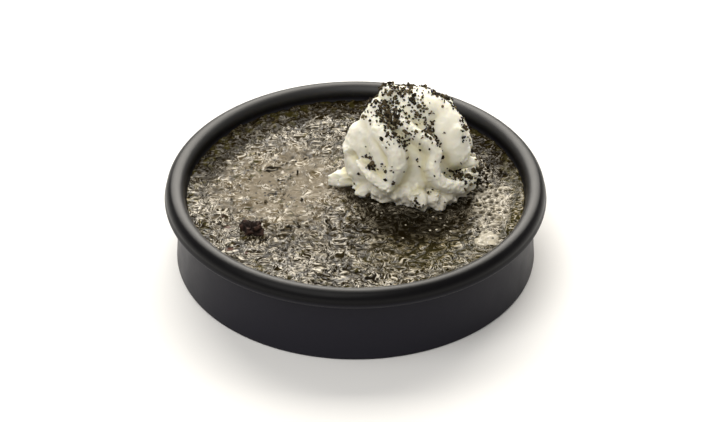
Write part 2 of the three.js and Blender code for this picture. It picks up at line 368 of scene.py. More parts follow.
def clouds(wavelength, seed):
    """Soft random patches: white noise blurred by a bell as wide as the wavelength. Spread of one."""
    noise = np.random.default_rng(seed).standard_normal((FIELD_CELLS, FIELD_CELLS))
    number = np.fft.fftfreq(FIELD_CELLS, FIELD_WIDTH / FIELD_CELLS)
    length = np.hypot(*np.meshgrid(number, number)) * wavelength
    patches = np.fft.ifft2(np.fft.fft2(noise) * np.exp(-length ** 2)).real
    return (patches - patches.mean()) / patches.std()


def sample(cells, x, y):
    """The field's value at points of the dish, by straight lines between its cells."""
    column = (x / FIELD_WIDTH + 0.5) * FIELD_CELLS - 0.5
    row = (y / FIELD_WIDTH + 0.5) * FIELD_CELLS - 0.5
    c, r = np.floor(column).astype(int), np.floor(row).astype(int)
    u, v = column - c, row - r
    left, right = c % FIELD_CELLS, (c + 1) % FIELD_CELLS
    front, back = r % FIELD_CELLS, (r + 1) % FIELD_CELLS
    near = cells[front, left] * (1 - u) + cells[front, right] * u
    far = cells[back, left] * (1 - u) + cells[back, right] * u
    return near * (1 - v) + far * v


def smooth_step(value, low, high):
    """Three t squared less two t cubed, where t goes from nought at low to one at high and stays there.
    Low may be the larger."""
    t = np.clip((value - low) / (high - low), 0, 1)
    return t * t * (3 - 2 * t)


def disc(steps):
    """A square grid pressed into a disc of radius one, squares to circles: the larger of a point's two
    coordinates becomes its radius, and their ratio its angle."""
    side = np.linspace(-1, 1, steps)
    a, b = np.meshgrid(side, side)
    wide = np.abs(a) >= np.abs(b)
    with np.errstate(divide="ignore", invalid="ignore"):
        angle = np.where(wide, np.pi / 4 * b / a, np.pi / 2 - np.pi / 4 * a / b)
    radius = np.where(wide, a, b)
    angle = np.nan_to_num(angle)
    return radius * np.cos(angle), radius * np.sin(angle)


def rim_order(steps):
    """The numbers of the disc's outer points, once round, anticlockwise from above."""
    number = np.arange(steps * steps).reshape(steps, steps)
    return np.concatenate([number[0, :-1], number[:-1, -1], number[-1, :0:-1], number[:0:-1, 0]])


def bubbles(x, y):
    """Burst bubbles in the skin, on the right of the dish. With the distance in radii, a pit is the
    exponential of minus its fourth power and a lip is a bell just outside one. Out as a height in metres,
    with masks of the pits' floors and lips."""
    pick = np.random.default_rng(7)
    kept = []
    while len(kept) < PIT_COUNT:
        bx, by = (pick.normal(middle, spread) * MM for middle, spread in PIT_PLACE_MM)
        size = pick.uniform(*PIT_RADIUS_MM) * MM
        if all(math.hypot(bx - ox, by - oy) > size + other + PIT_GAP for ox, oy, other in kept):
            kept.append((bx, by, size))
    height = np.zeros_like(x)
    floor = np.zeros_like(x)
    edge = np.zeros_like(x)
    for bx, by, size in kept:
        near = (np.abs(x - bx) < 3 * size) & (np.abs(y - by) < 3 * size)
        away = np.hypot(x[near] - bx, y[near] - by) / size
        pit = np.exp(-away ** 4)
        lip = np.exp(-((away - 1.2) / 0.3) ** 2)
        height[near] += (PIT_LIP_MM * lip - PIT_DEPTH_MM * pit) * MM
        floor[near] = np.maximum(floor[near], pit)
        edge[near] = np.maximum(edge[near], lip)
    return height, floor, edge * (1 - floor)


def spot(x, y, middle_x, middle_y, half_x, half_y, power):
    """A soft oval mask: the exponential of minus the distance, in half widths, to a power."""
    away = ((x - middle_x * MM) / (half_x * MM)) ** 2 + ((y - middle_y * MM) / (half_y * MM)) ** 2
    return np.exp(-away ** (power / 2))


def crust(x, y):
    """The skin's height over its level at points of the dish, and its masks by name. The height is long sine
    waves, then random ripples and wider swales, less of both where the skin is smooth or wet, then pits and
    foam, and a meniscus that falls off from the wall as an exponential. A mask is soft ovals and bands, added
    or multiplied, with clouds to make their edges ragged."""
    # Where the skin is smooth and brown, wet and painted dark as the cream's shadow, bare along the wall on
    # the right, or pitted like a net.
    radius = np.hypot(x, y)
    from_wall = CUSTARD_RADIUS - radius
    swell = sum(np.sin(wx * x / MM + wy * y / MM + phase) for wx, wy, phase in SWELL_WAVES)
    ripples = sample(field(RIPPLE, 0.3, 1), x, y)
    left = spot(x, y, *SMOOTH_SPOT)
    smooth = smooth_step(sample(clouds(5 * MM, 3), x, y), -0.5, 0.7) * left
    from_cream = np.hypot(x - CREAM_X, y - CREAM_Y) + 0.6 * MM * sample(clouds(3 * MM, 11), x, y)
    cream_shadow_band = smooth_step(from_cream, SHADOW_BAND_OUTSIDE, SHADOW_BAND_INSIDE)
    cream_shadow_band = cream_shadow_band * smooth_step(y, CREAM_Y + 1 * MM, CREAM_Y - 7 * MM)
    wet = np.maximum(spot(x, y, *WET_SHADOW_SPOT), 0.85 * cream_shadow_band)
    shore = smooth_step(radius, 47.5 * MM, 50.5 * MM) * spot(x, y, *SHORE_SPOT)
    net = 0.9 * spot(x, y, *PITTED_SPOT) * (1 - shore)
    rough = (1 - 0.8 * smooth) * (1 - 0.6 * wet) * (1 - 0.5 * net)
    swales = sample(field(SWALE, 0.4, 9), x, y)
    # The height, from the longest waves to the meniscus and the foam.
    height = SWELL_HEIGHT * swell * np.clip(from_wall / SWELL_EDGE, 0, 1)
    height = height + (RIPPLE_HEIGHT * ripples + SWALE_HEIGHT * swales) * rough
    pits, floors, lips = bubbles(x, y)
    height = height + pits * net
    meniscus = np.exp(-from_wall / MENISCUS_REACH) * (0.4 + 0.2 * sample(clouds(3 * MM, 4), x, y))
    height = height + meniscus * MM
    ragged = sample(clouds(1.6 * MM, 8), x, y)
    foam = smooth_step(spot(x, y, *FOAM_SPOT) + 0.12 * ragged, 0.35, 0.6) * 0.95
    foam = np.maximum(foam, 0.42 * smooth_step(spot(x, y, *FILM_SPOT) + 0.25 * ragged, 0.4, 0.9))
    foam = np.maximum(foam * (1 - shore), 0.7 * lips * net) * (1 - floors)
    height = height + FOAM_HEIGHT * foam
    # How much of the pale crinkles shows, partly painted glints, the colour between them, and how the skin
    # shines.
    # Painted shade in a band along the back wall, where the wall hides the light.
    wall_shade = smooth_step(radius + 0.8 * MM * ragged, WALL_SHADE_INSIDE, WALL_SHADE_OUTSIDE)
    wall_shade = wall_shade * smooth_step(y, -5 * MM, 18 * MM)
    dull_and_shaded = 0.9 * wall_shade + 0.35 * shore + sum(share * spot(x, y, *oval) for share, oval in DULL_SPOTS)
    pale = 0.42 - 0.13 * left + 0.22 * ripples + 0.12 * swales + 0.2 * sample(clouds(5 * MM, 5), x, y)
    pale = pale * (1 - dull_and_shaded) * (1 - 0.75 * smooth) + 0.25 * net
    pale = pale * (1 - 0.92 * wet) * (1 - floors * net)
    brown = np.clip(left * 0.9 + 0.25 * smooth + 0.2 * ragged, 0, 1) * (1 - wall_shade)
    near_wall = smooth_step(radius, 45 * MM, 51 * MM)
    olive = smooth_step(sample(clouds(3 * MM, 6), x, y) + 1.3 * near_wall, 1.3, 2.1)
    olive = np.maximum(olive, np.maximum(shore, 0.85 * spot(x, y, *OLIVE_SPOT)))
    gloss = (0.008 + 0.25 * smooth) * (1 - wall_shade) + 0.015 * wet
    shine = (0.96 - 0.15 * left - 0.2 * net + 0.15 * swales) * (1 - 0.8 * dull_and_shaded) * (1 - 0.6 * smooth)
    shine = shine * (1 - 0.75 * wet) * (1 - floors * net)
    # Dark crease lines: painted shade.
    shaded_creases = smooth_step(sample(clouds(7 * MM, 10), x, y) + 1.5 * spot(x, y, *SHADED_CREASE_SPOT), 0.1, 0.9)
    shaded_creases = shaded_creases * (1 - net) * (1 - wet)
    stain = sum(spot(x, y, sx, sy, 1.3 * half, half, 4) for sx, sy, half in STAINS)
    masks = {"pale": pale, "brown": brown, "olive": olive, "foam": foam, "rough": rough, "gloss": gloss,
             "shine": shine, "wet": wet, "shaded_creases": shaded_creases, "stain": stain}
    return height, masks


def flow(x, y):
    """Where the crinkles are read: on a cone with the distance from the cream's middle for its height, and
    FLOW_SQUEEZE of that plus FLOW_START for its radius, once soft random patches have moved the point a
    little. So crinkles run round the cream and are longer than they are wide."""
    x = x - CREAM_X + FLOW_SHIFT * sample(clouds(5 * MM, 21), x, y)
    y = y - CREAM_Y + FLOW_SHIFT * sample(clouds(5 * MM, 22), x, y)
    away, turn = np.hypot(x, y), np.arctan2(y, x)
    reach = FLOW_SQUEEZE * away + FLOW_START
    return np.stack([reach * np.cos(turn), reach * np.sin(turn), away], axis=-1).reshape(-1, 3)


def paint(piece, name, values):
    """Stores a mask on a piece's points, with nought on the points left over at the end."""
    layer = piece.data.attributes.new(name, "FLOAT", "POINT")
    values = np.ravel(values)
    left_over = len(piece.data.vertices) - values.size
    layer.data.foreach_set("value", np.pad(values, (0, left_over)).astype(np.float32))


def custard_piece():
    """The skin on its disc, then the side down the dish's wall and the base, closed to a middle point."""
    unit_x, unit_y = disc(SKIN_STEPS)
    x, y = unit_x * CUSTARD_RADIUS, unit_y * CUSTARD_RADIUS
    height, masks = crust(x, y)
    top = np.stack([x, y, CUSTARD_LEVEL + height], axis=-1).reshape(-1, 3)
    number = np.arange(SKIN_STEPS ** 2).reshape(SKIN_STEPS, SKIN_STEPS)
    quads = np.stack([number[:-1, :-1], number[:-1, 1:], number[1:, 1:], number[1:, :-1]], axis=-1)
    order = rim_order(SKIN_STEPS)
    turn = np.arctan2(top[order, 1], top[order, 0])
    side = ((BODY_TOP_RADIUS, CUSTARD_SIDE_TOP), (BODY_FLOOR_RADIUS, CUSTARD_CORNER_HEIGHT),
            (BODY_FLOOR_RADIUS - FLOOR_CORNER, custard_low.z))
    rings = [np.column_stack([r * np.cos(turn), r * np.sin(turn), np.full(len(turn), z)]) for r, z in side]
    points = np.vstack([top, *rings, (0, 0, custard_low.z)])
    faces = [quads.reshape(-1, 4)]
    upper = order
    for ring in range(len(side)):
        lower = SKIN_STEPS ** 2 + ring * len(order) + np.arange(len(order))
        faces.append(np.column_stack([upper, lower, np.roll(lower, -1), np.roll(upper, -1)]))
        upper = lower
    faces.append(np.column_stack([np.roll(upper, -1), upper, np.full(len(order), len(points) - 1)]))
    piece = mesh_object("custard_and_skin", points, faces)
    for name, values in masks.items():
        paint(piece, name, np.clip(values, 0, 1))
    lines = np.zeros((len(points), 3), np.float32)
    lines[:x.size] = flow(x, y)
    piece.data.attributes.new("flow", "FLOAT_VECTOR", "POINT").data.foreach_set("vector", lines.ravel())
    return piece


def times(tree, first, second):
    """Two values multiplied."""
    return arithmetic(tree, "MULTIPLY", first, second)


def mask(tree, name):
    """A mask painted on the piece's points."""
    return add(tree, "Attribute", attribute_name=name).outputs["Fac"]


def winding(tree, scale, width, warp):
    """Thin winding crests: one where a warped noise is at its middle value, and nought a width away."""
    along = add(tree, "Attribute", attribute_name="flow").outputs["Vector"]
    noise = add(tree, "TexNoise", Vector=along, Scale=scale, Detail=1.0, Roughness=0.4, Distortion=warp)
    off = arithmetic(tree, "SUBTRACT", noise.outputs["Fac"], 0.5)
    return ramp(tree, arithmetic(tree, "ABSOLUTE", off), 0.0, width, 1.0, 0.0)


def skin_material():
    """Dark custard under a glossy sugar skin: pale on the crinkles, partly painted glints, with gold painted
    reflection near the walls, brown and olive between, speckled with crumb. Shade is painted dark on the wet
    patch before the cream and in the creases. Only the crinkles and the smooth places carry the glossy coat."""
    finish, tree, shader = material("sugar_skin")
    height, mottle = grain(tree, fine=1700.0, coarse=420.0)
    crest = arithmetic(tree, "MAXIMUM", *(winding(tree, *crinkle) for crinkle in CRINKLES))
    crease = times(tree, winding(tree, *CREASES), mask(tree, "shaded_creases"))
    speck = add(tree, "TexVoronoi", Vector=place(tree), Scale=SPECK_SCALE)
    clear = ramp(tree, speck.outputs["Distance"], 0.13, 0.22)
    # White dots on the wet patch: partly foam specks, partly painted glints.
    foam_dot_glint = ramp(tree, speck.outputs["Distance"], 0.1, 0.19, 1.0, 0.0)
    foam_dot_glint = times(tree, foam_dot_glint, ramp(tree, speck.outputs["Color"], 0.5, 0.54))
    froth = times(tree, mask(tree, "foam"), ramp(tree, mottle, 0, 1, 0.7, 1.0))
    # Pale crinkles: partly the sugar's own colour and partly painted glints.
    pale_and_glint_cover = times(tree, ramp(tree, mask(tree, "pale"), 0, 0.8, 0.0, 1.7), ramp(tree, crest, 0.34, 0.62))
    under = blend_colour(tree, mask(tree, "brown"), BATTER, SKIN_BROWN)
    under = blend_colour(tree, mask(tree, "olive"), under, OLIVE)
    # The wet patch before the cream painted near black: painted shadow of the cream.
    under = blend_colour(tree, mask(tree, "wet"), under, DARK_BATTER_AND_SHADOW)
    # Where olive, the crinkles turn gold: a painted gold reflection.
    over = blend_colour(tree, mask(tree, "olive"), SKIN_PALE_AND_GLINT, SKIN_GOLD_GLINT)
    colour = blend_colour(tree, pale_and_glint_cover, under, over)
    colour = blend_colour(tree, froth, colour, FOAM)
    colour = blend_colour(tree, clear, DARK_BATTER_AND_SHADOW, colour)
    # Creases painted dark: painted shade.
    colour = blend_colour(tree, ramp(tree, crease, 0.1, 0.7), colour, DARK_BATTER_AND_SHADOW)
    colour = blend_colour(tree, times(tree, foam_dot_glint, mask(tree, "wet")), colour, FOAM)
    colour = blend_colour(tree, mask(tree, "stain"), colour, STAIN)
    feed(tree, shader.inputs["Base Color"], colour)
    feed(tree, shader.inputs["Roughness"], ramp(tree, crest, 0, 1, 0.5, 0.22))
    coat = times(tree, ramp(tree, crest, 0.3, 0.56), mask(tree, "shine"))
    coat = arithmetic(tree, "MAXIMUM", coat, mask(tree, "gloss"))
    feed(tree, shader.inputs["Coat Weight"], times(tree, coat, ramp(tree, crease, 0.1, 0.7, 1.0, 0.1)))
    low = bump(tree, times(tree, crest, mask(tree, "rough")), depth=0.14 * MM)
    finest = add(tree, "Bump", Height=height, Distance=0.03 * MM, Normal=low)
    feed(tree, shader.inputs["Normal"], finest.outputs["Normal"])
    shader.inputs["Coat Roughness"].default_value = SKIN_COAT_ROUGHNESS
    shader.inputs["Coat IOR"].default_value = COAT_IOR
    shader.inputs["IOR"].default_value = SKIN_IOR
    return finish


custard = custard_piece()
custard.data.materials.append(skin_material())
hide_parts("custard")
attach(custard, "root")


# The whipped cream. One dollop from a star nozzle: soft folds with thin crests that lean round as they
# sink, on a ring of small lumps. Distances to its folds are joined softly and met along rays from its foot.
cream_low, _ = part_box("whipped_cream")
CREAM_SINK = 0.35 * MM
CREAM_FLOOR = cream_low.z - CREAM_SINK
CREAM_COARSE_STEPS = (170, 58)
CREAM_STEPS = (520, 176)
CREAM_REACH_MM = 36.0
# How widely folds, core and lumps are rounded into each other, in mm.
FOLD_BLEND, CORE_BLEND, LUMP_BLEND = 0.9, 2.8, 1.2
# Beads of x, y, z and radius in mm about the middle of the foot: the core that the folds lean on.
CORE = ((0, 1, 5, 14.6), (-0.5, 1.2, 14, 13.2), (-0.5, 1.6, 22.5, 8.5))
# Azimuth in degrees, distance from the axis, height and thickness in mm, each at the top, middle and foot.
FOLDS = (
    ((177, 193, 205), (10.0, 12.8, 12.8), (25, 17, 9), (4.4, 5.7, 4.6)),
    ((184, 214, 230), (10.6, 12.0, 12.0), (25, 18.5, 10), (3.4, 4.8, 4.4)),
    ((182, 188, 194), (15.4, 16.0, 14.8), (16, 10, 4), (5.2, 5.9, 5.6)),
    ((187, 243, 244), (12.6, 13.6, 15.0), (24.6, 19.5, 9.5), (2.6, 3.0, 2.8)),
    ((184, 207, 242), (20.7, 20.2, 17.4), (13.0, 12.0, 6.8), (1.4, 1.4, 1.9)),
    ((186, 284, 294), (5.6, 11.4, 15.2), (27.6, 22.8, 13.5), (2.0, 1.9, 1.9)),
    ((294, 303, 330), (15.4, 18.0, 20.0), (13.5, 7.6, 5.2), (1.9, 2.2, 2.6)),
    ((384, 352, 342), (7.4, 11.4, 14.4), (24.0, 19.6, 13.0), (4.2, 4.9, 4.6)),
    ((36, 8, 344), (12.6, 16.8, 19.6), (23.0, 17.2, 9.4), (2.3, 1.9, 1.7)),
    ((157, 130, 62), (7.8, 4.7, 6.4), (29.2, 27.6, 26), (3.6, 3.2, 3.2)),
    ((158, 140, 128), (9.4, 14.8, 17.4), (26, 18, 8), (2.6, 2.6, 3.0)),
    ((126, 118, 110), (8.4, 13.0, 15.4), (24.5, 16, 7), (4.2, 5.2, 5.2)),
    ((106, 88, 76), (8.0, 14.2, 17.2), (26, 18.5, 8.5), (2.4, 2.6, 2.9)),
    ((72, 62, 54), (8.8, 13.4, 15.8), (23.5, 15, 7), (4.4, 5.2, 5.2)),
    ((54, 36, 28), (9.6, 15.6, 18.2), (24.5, 16.5, 7.5), (2.4, 2.6, 3.0)),
)
# How far the lumps round the foot reach from its middle, in mm, in even steps of azimuth.
FOOT_REACH = (20.2, 20.0, 20.4, 20.6, 20.2, 20.2, 20.6, 20.4, 20.4, 20.6, 21.0,
              21.0, 20.6, 18.4, 18.2, 17.2, 16.2, 19.4, 20.7, 19.8, 20.6, 19.8)
FOOT_LUMP_HEIGHT = 2.2
FOOT_LUMP_RADIUS, FOOT_LUMP_SPREAD = 3.2, 0.5
# Beads again: the tail at the left, a drop beside it, and the hollows under the left curl and the right fold.
TAIL = ((-19, -1, 1.6, 2.8), (-22.5, -3, 1.2, 2.9), (-24.6, -3.2, 0.9, 2.1))
DROP = ((-15.2, -9.6, 1.2, 2.0), (-15.8, -9.9, 1.0, 1.9))
CURL = ((-19.4, -6.4, 12.6, 1.7), (-17.6, -11.0, 9.6, 2.0), (-14.6, -13.8, 6.4, 1.7))
UNDERCUT = ((15.5, -10.5, 6.6, 1.3), (19.5, -5.5, 6.8, 1.7), (21.5, 0.5, 6.6, 1.7))
LATTICE = 32
CREAM_WHITE = (0.80, 0.78, 0.675)
# The creases' colour: darker and yellower, painted shade.
CREAM_CREASE_SHADE = (0.72, 0.68, 0.49)
# The foot's grey: thin cream over the dark custard, and partly painted shade.
CREAM_FOOT_SHADE = (0.56, 0.53, 0.45)


def through(values, t):
    """The parabola through three values, at the start, the middle and the end."""
    top, middle, foot = values
    return top * 2 * (t - 0.5) * (t - 1) + middle * 4 * t * (1 - t) + foot * 2 * t * (t - 0.5)


def fold_beads(fold, count=6):
    """A fold's spine as beads of x, y, z and radius."""
    azimuth, reach, height, thickness = (through(values, np.linspace(0, 1, count)) for values in fold)
    azimuth = np.radians(azimuth)
    return np.column_stack([reach * np.cos(azimuth), reach * np.sin(azimuth), height, thickness])


def rod_distance(points, start, end):
    """Distance to a round rod that tapers from bead to bead: to its nearest point, less its radius."""
    start, end = np.asarray(start, np.float32), np.asarray(end, np.float32)
    along = end[:3] - start[:3]
    offset = points - start[:3]
    t = np.clip(offset @ along / max(along @ along, 1e-9), 0, 1)
    offset -= t[..., None] * along
    return np.sqrt(np.einsum("...i,...i", offset, offset)) - (start[3] + (end[3] - start[3]) * t)


def chain_distance(points, beads):
    """Distance to a row of rods."""
    return np.min([rod_distance(points, a, b) for a, b in zip(beads[:-1], beads[1:])], axis=0)


def ball_distance(points, bead):
    """Distance to one bead: to its middle, less its radius."""
    offset = points - np.array(bead[:3], np.float32)
    return np.sqrt(np.einsum("...i,...i", offset, offset)) - bead[3]


def soft_union(a, b, blend):
    """The nearer of two distances, rounded over where they are alike."""
    share = np.clip(0.5 + 0.5 * (b - a) / blend, 0, 1)
    return b + (a - b) * share - blend * share * (1 - share)


def cream_distance(points):
    """Distance to the dollop: folds joined softly to each other, to the core, to the foot's lumps and to
    the tail and its drop, less the hollows under the left curl and the right fold."""
    folds = None
    for fold in FOLDS:
        near = chain_distance(points, fold_beads(fold))
        folds = near if folds is None else soft_union(folds, near, FOLD_BLEND)
    distance = soft_union(folds, chain_distance(points, CORE), CORE_BLEND)
    for i, reach in enumerate(FOOT_REACH):
        azimuth = i / len(FOOT_REACH) * 2 * math.pi
        radius = FOOT_LUMP_RADIUS + FOOT_LUMP_SPREAD * math.sin(i * 2.4)
        out = reach - radius
        lump = (out * math.cos(azimuth), out * math.sin(azimuth), FOOT_LUMP_HEIGHT, radius)
        distance = soft_union(distance, ball_distance(points, lump), LUMP_BLEND)
    for beads in (TAIL, DROP):
        distance = soft_union(distance, chain_distance(points, beads), LUMP_BLEND)
    for beads in (CURL, UNDERCUT):
        distance = -soft_union(-distance, chain_distance(points, beads), LUMP_BLEND)
    return distance


def value_noise(points, wavelength, seed):
    """Smooth noise in space: random numbers on a lattice, eased from corner to corner. From -1 to 1."""
    lattice = np.random.default_rng(seed).uniform(-1, 1, (LATTICE, LATTICE, LATTICE)).astype(np.float32)
    scaled = points / wavelength
    cell = np.floor(scaled).astype(int)
    t = scaled - cell
    t = t * t * (3 - 2 * t)
    total = np.zeros(points.shape[:-1])
    for corner in np.ndindex(2, 2, 2):
        weight = np.where(corner, t, 1 - t).prod(axis=-1)
        i, j, k = np.moveaxis((cell + corner) % LATTICE, -1, 0)
        total += weight * lattice[i, j, k]
    return total


def dome_rays(turn_steps, rise_steps):
    """Unit rays from the middle of the foot, in even steps of azimuth and, up to just short of the pole, of
    elevation."""
    azimuth = np.arange(turn_steps) / turn_steps * 2 * np.pi
    elevation = np.linspace(0, 1, rise_steps + 1)[:-1, None] * np.pi / 2
    level = np.cos(elevation)
    rays = (level * np.cos(azimuth), level * np.sin(azimuth), np.sin(elevation) + 0 * azimuth)
    return np.stack(rays, axis=-1).astype(np.float32)


def dome_reach(distance, rays, reach, steps):
    """How far each ray goes to meet a surface from outside: at each step it is drawn in by most of the
    distance that is left."""
    for _ in range(steps):
        reach = np.maximum(reach - 0.92 * distance(rays * reach[..., None]), 0.5)
    return reach


def finer(coarse, turn_steps, rise_steps):
    """A dome's reaches on a finer grid, by straight lines between the coarse ones."""
    rows = np.linspace(0, coarse.shape[0] - 1e-3, rise_steps + 1)[:-1]
    rows = np.clip(rows, 0, coarse.shape[0] - 1.001)
    columns = np.arange(turn_steps) / turn_steps * coarse.shape[1]
    r, c = rows.astype(int), columns.astype(int)
    v, u = (rows - r)[:, None], (columns - c)[None, :]
    right = (c + 1) % coarse.shape[1]
    upper = coarse[r][:, c] * (1 - u) + coarse[r][:, right] * u
    lower = coarse[r + 1][:, c] * (1 - u) + coarse[r + 1][:, right] * u
    return upper * (1 - v) + lower * v


def cream_surface():
    """The dollop in mm about the middle of its foot, as rings of points, with how deep each lies in a crease.
    Coarse rays find the folds, finer ones settle on them, and noise then roughens foot and crests. A crease
    is where the reach is shorter than it is on average round about."""
    start = np.full(CREAM_COARSE_STEPS[::-1], CREAM_REACH_MM, np.float32)
    coarse = dome_reach(cream_distance, dome_rays(*CREAM_COARSE_STEPS), start, 18)
    reach = finer(coarse, *CREAM_STEPS).astype(np.float32)
    rays = dome_rays(*CREAM_STEPS)
    reach = dome_reach(cream_distance, rays, reach + 0.4, 4)
    blurred = reach
    for shift in (1, 2, 4, 6):
        blurred = (np.roll(blurred, shift, 1) + np.roll(blurred, -shift, 1) + 2 * blurred) / 4
        padded = np.pad(blurred, ((shift, shift), (0, 0)), mode="edge")
        blurred = (padded[2 * shift:] + padded[:-2 * shift] + 2 * blurred) / 4
    crease = np.clip((blurred - reach) / 0.5, -1, 1)
    points = rays * reach[..., None]
    foot = 1 - smooth_step(points[..., 2], 3.0, 8.5)
    crest = np.clip(-crease, 0, 1)
    lift = (0.25 + 0.85 * foot) * value_noise(points, 3.1, 11)
    lift += (0.12 + 0.6 * foot) * value_noise(points, 1.5, 12)
    lift += (0.05 + 0.2 * foot + 0.3 * crest) * value_noise(points, 0.8, 13)
    lift += foot * (0.6 - 1.7 * np.abs(value_noise(points, 2.2, 14)))
    reach = reach + lift
    return rays * reach[..., None], np.clip(crease, 0, 1)


def dome_piece(name, rings_mm, foot):
    """A closed dome from its rings in mm, put down with the middle of its foot at a place."""
    return skin(name, rings_mm * MM + foot, foot, rings_mm[-1].mean(axis=0) * MM + foot)


def cream_material():
    """Whipped cream: light scatters under the skin. Creases are painted a little darker and yellow as shade,
    the thin foot greyer, partly as painted shade.
    """
    finish, tree, shader = material("whipped_cream_skin")
    height, mottle = grain(tree, fine=2300.0, coarse=500.0)
    # Creases painted darker and yellower: painted shade.
    colour = blend_colour(tree, mask(tree, "crease"), CREAM_WHITE, CREAM_CREASE_SHADE)
    # The foot painted greyer: partly painted shade.
    feed(tree, shader.inputs["Base Color"], blend_colour(tree, mask(tree, "foot"), colour, CREAM_FOOT_SHADE))
    feed(tree, shader.inputs["Roughness"], ramp(tree, mottle, 0, 1, 0.42, 0.6))
    feed(tree, shader.inputs["Normal"], bump(tree, height, depth=0.08 * MM, strength=0.5))
    shader.inputs["Subsurface Weight"].default_value = 0.6
    shader.inputs["Subsurface Radius"].default_value = (1.0, 0.85, 0.5)
    shader.inputs["Subsurface Scale"].default_value = 1.3 * MM
    return finish


cream_points, cream_crease_shade = cream_surface()
cream_place = np.array([CREAM_X, CREAM_Y, CREAM_FLOOR])
cream = dome_piece("whipped_cream_dollop", cream_points, cream_place)
# Where the foot is painted greyer, partly as shade.
cream_foot_shade = smooth_step(cream_points[..., 2], 7.0, 2.0) * smooth_step(cream_points[..., 0], -17, -12)
# How deep each point lies in a crease, painted as shade.
paint(cream, "crease", cream_crease_shade)
paint(cream, "foot", np.append(cream_foot_shade, (1, 0)))
cream.data.materials.append(cream_material())
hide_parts("whipped_cream")
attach(cream, "root")


# The crumbs on the cream. Crushed dark cookie, angular grains of 0.35 to 1.7 mm pressed a little into the
# surface: thick on the top and down two of the valleys, thin elsewhere. They are one joined mesh.
CRUMB_DARK = (0.011, 0.0072, 0.0022)
CRUMB_LIGHT = (0.15, 0.115, 0.062)
CRUMB_IOR = 1.25
CRUMB_COUNT = 1600
# The cream's front leans back, so a patch's height is measured up a slant: these shares of y and of z.
SLANT_Y, SLANT_Z = 0.579, 0.815
# Patches in mm: x and slanted height of the middle, half widths along both, and how thickly strewn.
CRUMB_PATCHES = (
    (-8.5, 28.3, 3.0, 2.0, 1.8), (-3.8, 26.7, 3.5, 2.2, 1.9), (-1.6, 28.7, 3.0, 1.4, 1.1),
    (-8.9, 20.8, 3.4, 3.2, 4.2), (-5.7, 17.6, 2.6, 2.4, 3.4), (-6.9, 12.9, 1.6, 2.2, 1.2),
    (-2.2, 12.1, 2.6, 1.8, 2.4), (1.4, 9.7, 1.4, 1.2, 1.6), (-3.8, 9.7, 1.4, 1.4, 1.0),
    (0.2, 23.2, 2.6, 2.2, 1.7), (2.5, 18.8, 2.0, 2.6, 1.9), (4.9, 14.9, 1.5, 2.4, 2.3),
    (6.9, 11.3, 1.0, 1.8, 1.8), (7.3, 26.3, 1.8, 1.4, 1.6), (9.6, 24.7, 2.2, 1.3, 1.0),
    (13.2, 24.0, 1.2, 1.8, 1.0), (15.2, 16.0, 1.1, 2.6, 1.0), (15.5, 11.7, 1.2, 1.2, 1.2),
    (-13.9, 6.2, 1.1, 1.2, 2.4), (-11.5, 3.0, 2.6, 0.8, 2.6), (-6.8, -0.9, 1.0, 1.6, 2.2),
    (12.1, 2.6, 1.6, 1.2, 1.5), (14.5, 0.3, 2.4, 1.3, 2.4), (17.6, -1.3, 1.4, 1.4, 1.2),
    (-13.5, -6.0, 0.8, 0.9, 2.0), (2.3, -9.2, 1.6, 0.9, 1.5), (5.1, -5.2, 0.7, 0.7, 0.9),
    (1.0, 3.4, 1.4, 2.6, 0.45),
)
CRUMB_THIN = 0.03
BLOCK_CORNERS = [(x, y, z) for x in (-1, 1) for y in (-1, 1) for z in (-1, 1)]
BLOCK = np.array(BLOCK_CORNERS + [(0, 0, 1.5), (0, 0, -1.5)], float)


def block_faces():
    """The triangles round a block of eight corners and two points, one above and one below."""
    around = (0, 4, 6, 2)
    faces = []
    for i in range(4):
        a, b = around[i], around[(i + 1) % 4]
        faces += [(a, b, b + 1), (a, b + 1, a + 1), (9, b, a), (8, a + 1, b + 1)]
    return np.array(faces)


def strewn(name, places, normals, sizes, seed):
    """Angular grains joined in one mesh: blocks with their corners moved at random, turned any way, and set
    on the surface with their middles a fifth of their size above it."""
    pick = np.random.default_rng(seed)
    count = len(places)
    corners = BLOCK[None] * pick.uniform(0.3, 1.0, (count, len(BLOCK), 3))
    corners = corners * pick.uniform(0.45, 1.25, (count, 1, 3))
    turn = pick.normal(size=(count, 4))
    a, b, c, d = (turn / np.linalg.norm(turn, axis=1, keepdims=True)).T
    spin = np.array([[1 - 2 * (c * c + d * d), 2 * (b * c - a * d), 2 * (b * d + a * c)],
                     [2 * (b * c + a * d), 1 - 2 * (b * b + d * d), 2 * (c * d - a * b)],
                     [2 * (b * d - a * c), 2 * (c * d + a * b), 1 - 2 * (b * b + c * c)]]).transpose(2, 0, 1)
    corners = np.einsum("nij,nkj->nki", spin, corners) * (sizes / 2)[:, None, None]
    points = corners + (places + normals * (0.2 * sizes)[:, None])[:, None]
    faces = block_faces()[None] + (np.arange(count) * len(BLOCK))[:, None, None]
    piece = mesh_object(name, points.reshape(-1, 3), [faces.reshape(-1, 3)])
    piece.data.polygons.foreach_set("use_smooth", np.zeros(len(piece.data.polygons), bool))
    paint(piece, "shade", np.repeat(pick.uniform(0, 1, count) ** 2.2, len(BLOCK)))
    return piece


def random_sizes(middle, spread, smallest, largest, count, seed):
    """Random sizes in mm: the middle size times the exponential of a bell's draw, held between two limits."""
    sizes = np.random.default_rng(seed).lognormal(math.log(middle), spread, count)
    return sizes.clip(smallest, largest)


